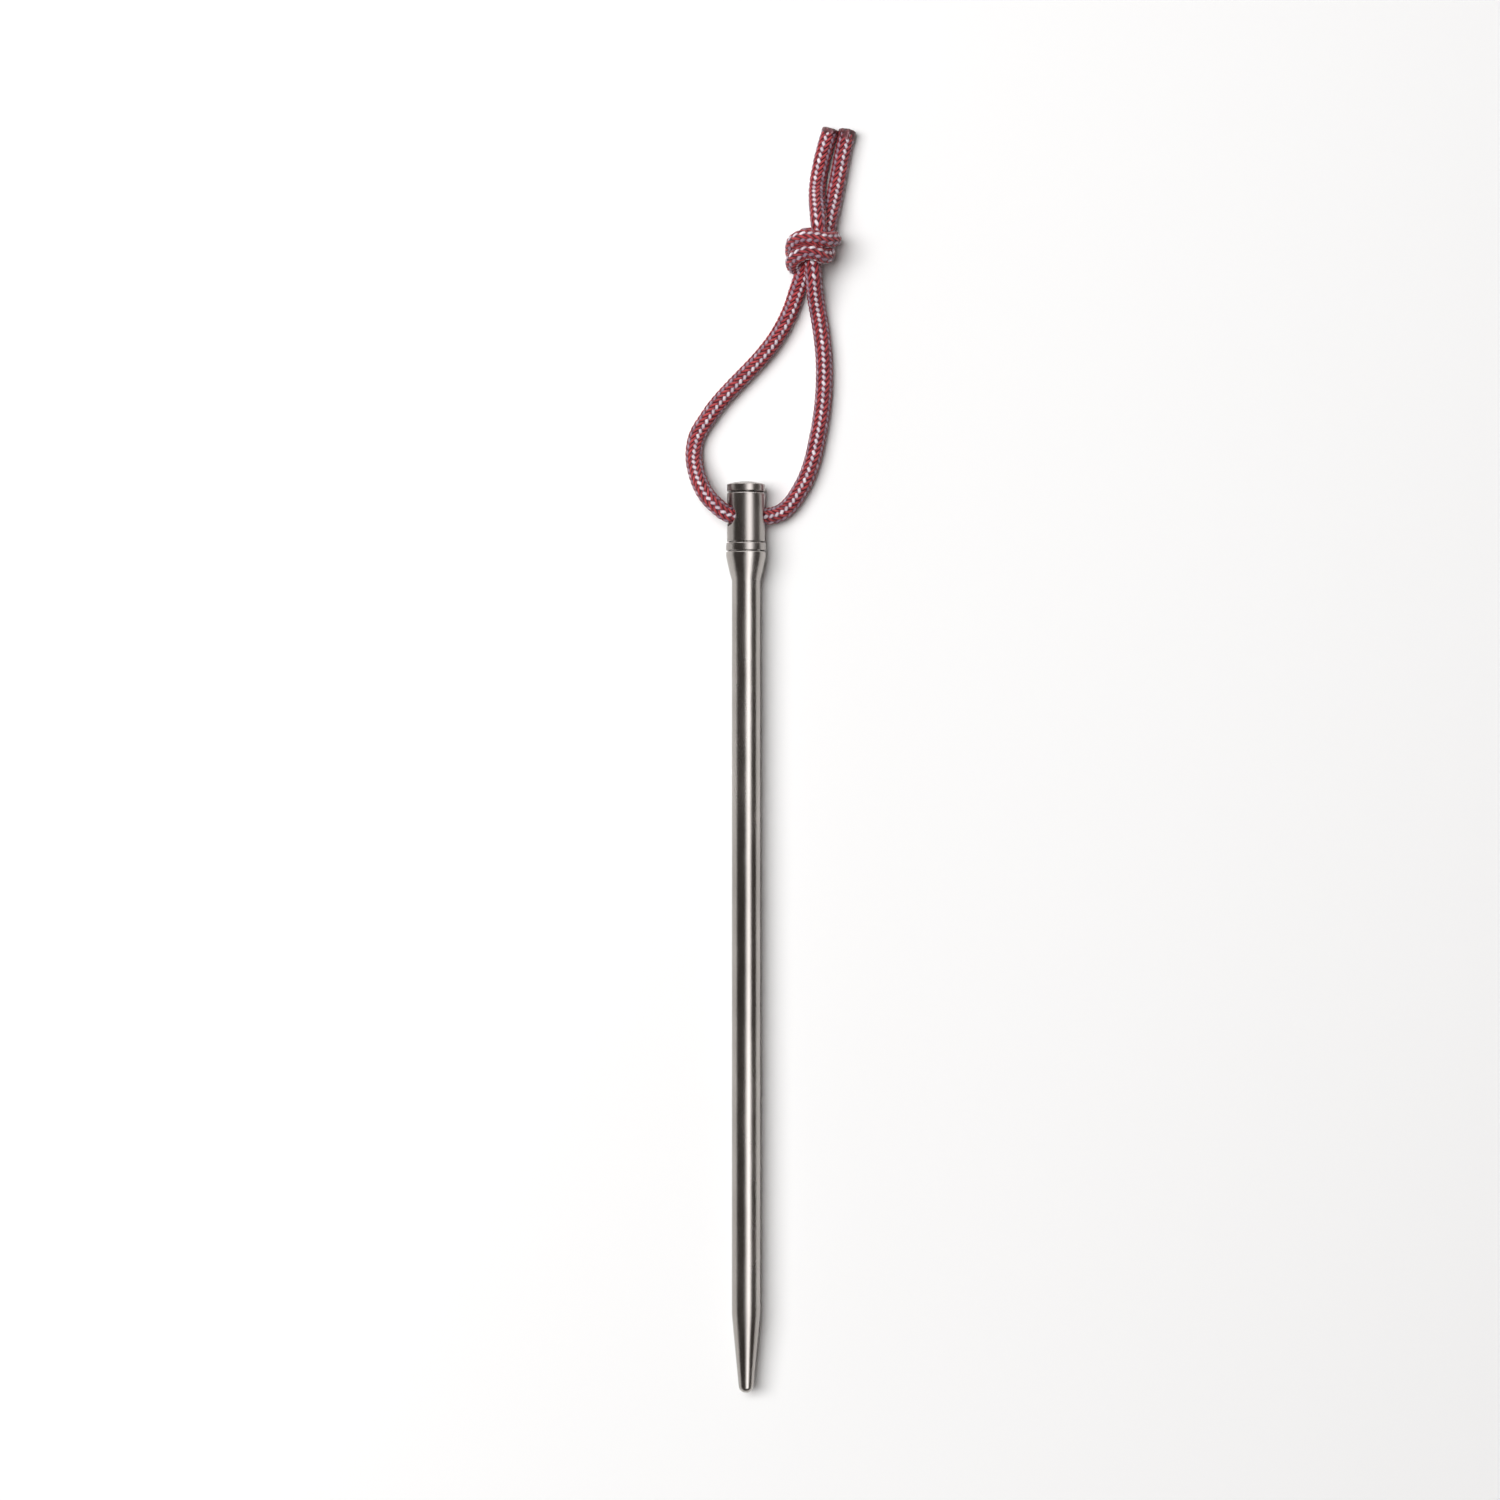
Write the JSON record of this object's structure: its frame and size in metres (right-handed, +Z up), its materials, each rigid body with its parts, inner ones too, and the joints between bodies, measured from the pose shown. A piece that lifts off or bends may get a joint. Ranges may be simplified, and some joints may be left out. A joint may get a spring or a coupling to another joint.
{
  "type": "tent stake",
  "caption": "Slim tubular metal tent stake with a round striking head, a cross-drilled eye and a knotted braided pull loop.",
  "frame": {"origin": "middle of the stake's length, on the ground under its axis, measured without the cord", "axes": "+Y along the stake towards its head, +Z up from the ground it lies on, +X to the right seen from above"},
  "size_m": [0.03, 0.2224, 0.0091],
  "materials": {
    "turned_metal": "fine turned, satin bright",
    "tube_metal": "satin, slightly grainy on the swaged mouth",
    "cord_braid": "red braid with six lines of white strands"
  },
  "bodies": {
    "stake": {"strike_cap": "turned_metal", "eye_head": "turned_metal", "collar_ring": "turned_metal", "shaft_tube": "tube_metal"},
    "pull_loop": {"cord_leg_left": "cord_braid", "cord_leg_right": "cord_braid", "cord_knot": "cord_braid", "cord_tail_left": "cord_braid", "cord_tail_right": "cord_braid"}
  },
  "joints": [
    {"name": "pull_loop_swing", "type": "hinge", "parent": "stake", "child": "pull_loop", "pos_m": [0, 0.074, 0.0035], "axis": [0.9636, 0, -0.2672], "range_deg": [0, 160]}
  ]
}
